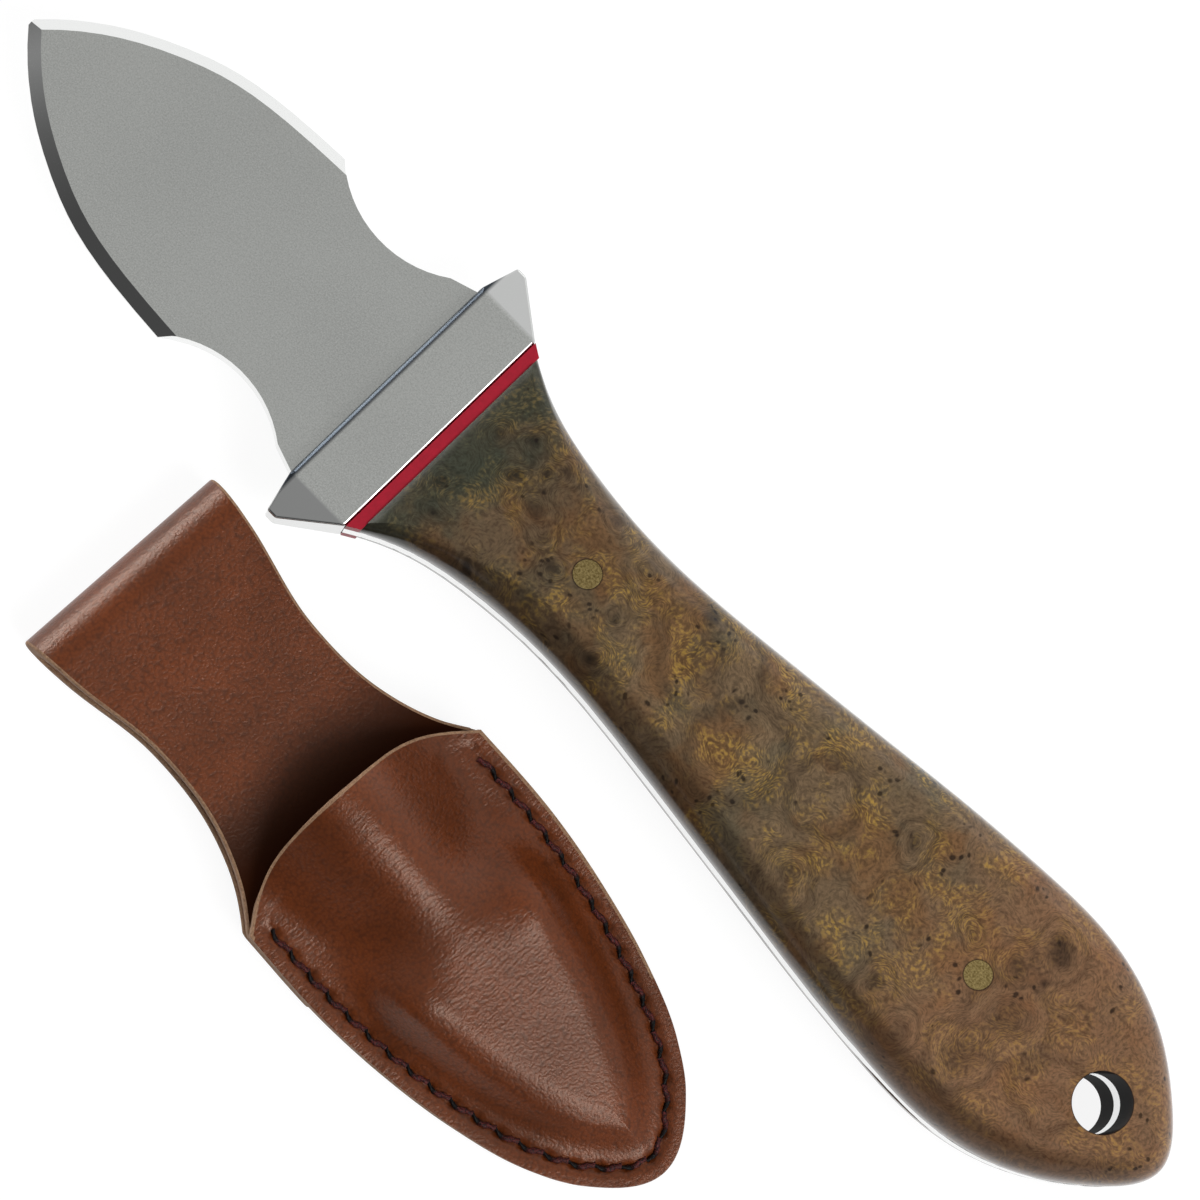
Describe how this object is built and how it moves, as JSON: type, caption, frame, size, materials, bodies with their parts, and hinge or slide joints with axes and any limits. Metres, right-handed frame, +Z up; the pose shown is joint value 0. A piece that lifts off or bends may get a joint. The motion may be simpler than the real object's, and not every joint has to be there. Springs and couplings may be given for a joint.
{
  "type": "oyster knife",
  "caption": "Full-tang oyster knife with a heart-shaped double-edged blade, winged guard and burl wood scales, lying beside its stitched leather belt sheath.",
  "frame": {"origin": "on the table, at the middle of the flat of the lower scale that the knife rests on, midway between the start and the end of that flat, on the knife's own axis", "axes": "+X along the knife from tip to butt, +Y across the blade away from the sheath, +Z up out of the blade's face"},
  "size_m": [0.1646, 0.0677, 0.016],
  "materials": {
    "blade_steel": "satin, fine ground, polished bevels",
    "guard_steel": "polished",
    "red_fibre": "vulcanised fibre, buffed flush",
    "burl_wood": "stabilised burl, buffed to a gloss",
    "brass": "ground flush, lightly tarnished",
    "sheath_leather": "chestnut, smooth grain, semi-gloss",
    "waxed_thread": "dark burgundy waxed thread"
  },
  "bodies": {
    "knife": {"blade_and_tang": "blade_steel", "guard": "guard_steel", "spacer_top": "red_fibre", "spacer_bottom": "red_fibre", "scale_top": "burl_wood", "scale_bottom": "burl_wood", "front_pin": "brass", "rear_pin": "brass"},
    "sheath": {"sheath_back_panel": "sheath_leather", "sheath_front_panel": "sheath_leather", "sheath_seam_stitching": "waxed_thread", "belt_loop_stitching": "waxed_thread"}
  },
  "joints": [
    {"name": "sheath_lift", "type": "slide", "parent": "knife", "child": "sheath", "axis": [0, 0, 1], "range_m": [0, 0.06]}
  ]
}
